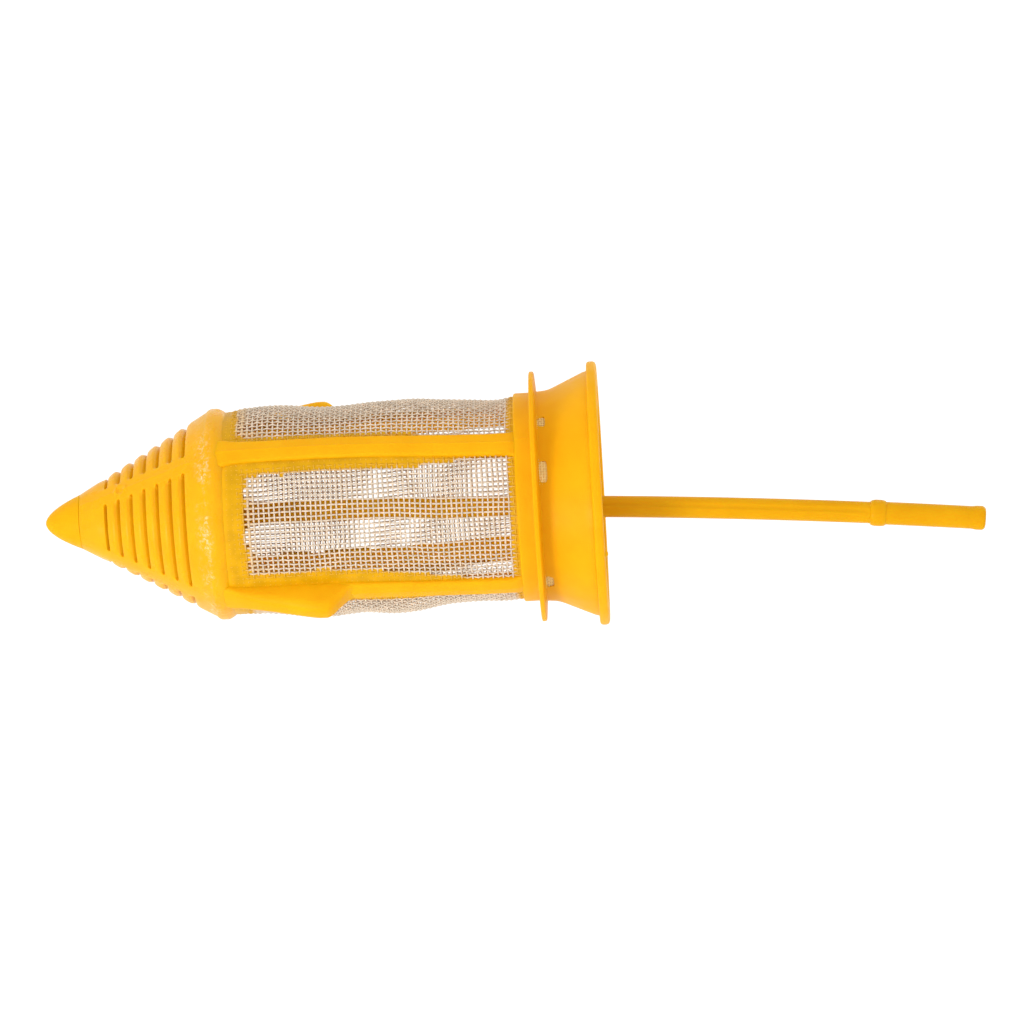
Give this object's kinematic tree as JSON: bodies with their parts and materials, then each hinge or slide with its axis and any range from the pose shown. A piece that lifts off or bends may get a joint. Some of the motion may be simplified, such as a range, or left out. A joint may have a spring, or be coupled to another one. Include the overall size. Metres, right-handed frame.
{
  "type": "wasp trap",
  "caption": "Insect trap insert with a louvred cone nose, a ribbed mesh cage, snap latches, a seat flange, a funnel mouth and a lift-out pull rod.",
  "frame": {"origin": "centre of the seat face of the flange, on the cage's axis", "axes": "+Z along the cage's axis, out of the funnel mouth, so the nose points to -Z; +X through one snap latch"},
  "size_m": [0.0448, 0.0448, 0.1598],
  "materials": {
    "yellow_plastic": "satin moulded polypropylene",
    "rod_plastic": "satin moulded polypropylene",
    "nylon_mesh": "plain-woven monofilament mesh"
  },
  "bodies": {
    "cage": {"nose_tip": "yellow_plastic", "nose_cone": "yellow_plastic", "rod_socket": "yellow_plastic", "weld_ring": "yellow_plastic", "latch_rib_a": "yellow_plastic", "plain_rib_a": "yellow_plastic", "latch_rib_b": "yellow_plastic", "plain_rib_b": "yellow_plastic", "snap_latch_a": "yellow_plastic", "snap_latch_b": "yellow_plastic", "mesh_panel_a": "nylon_mesh", "mesh_panel_b": "nylon_mesh", "mesh_panel_c": "nylon_mesh", "mesh_panel_d": "nylon_mesh", "collar": "yellow_plastic", "seat_flange": "yellow_plastic", "funnel_neck": "yellow_plastic", "funnel_flare": "yellow_plastic", "mouth_lip": "yellow_plastic", "gate_nub": "yellow_plastic"},
    "rod": {"rod_foot": "rod_plastic", "rod_stem": "rod_plastic", "stop_collar": "rod_plastic", "grip": "rod_plastic", "grip_end": "rod_plastic"}
  },
  "joints": [
    {"name": "rod_lift", "type": "slide", "parent": "cage", "child": "rod", "axis": [0, 0, 1], "range_m": [0, 0.012]}
  ]
}
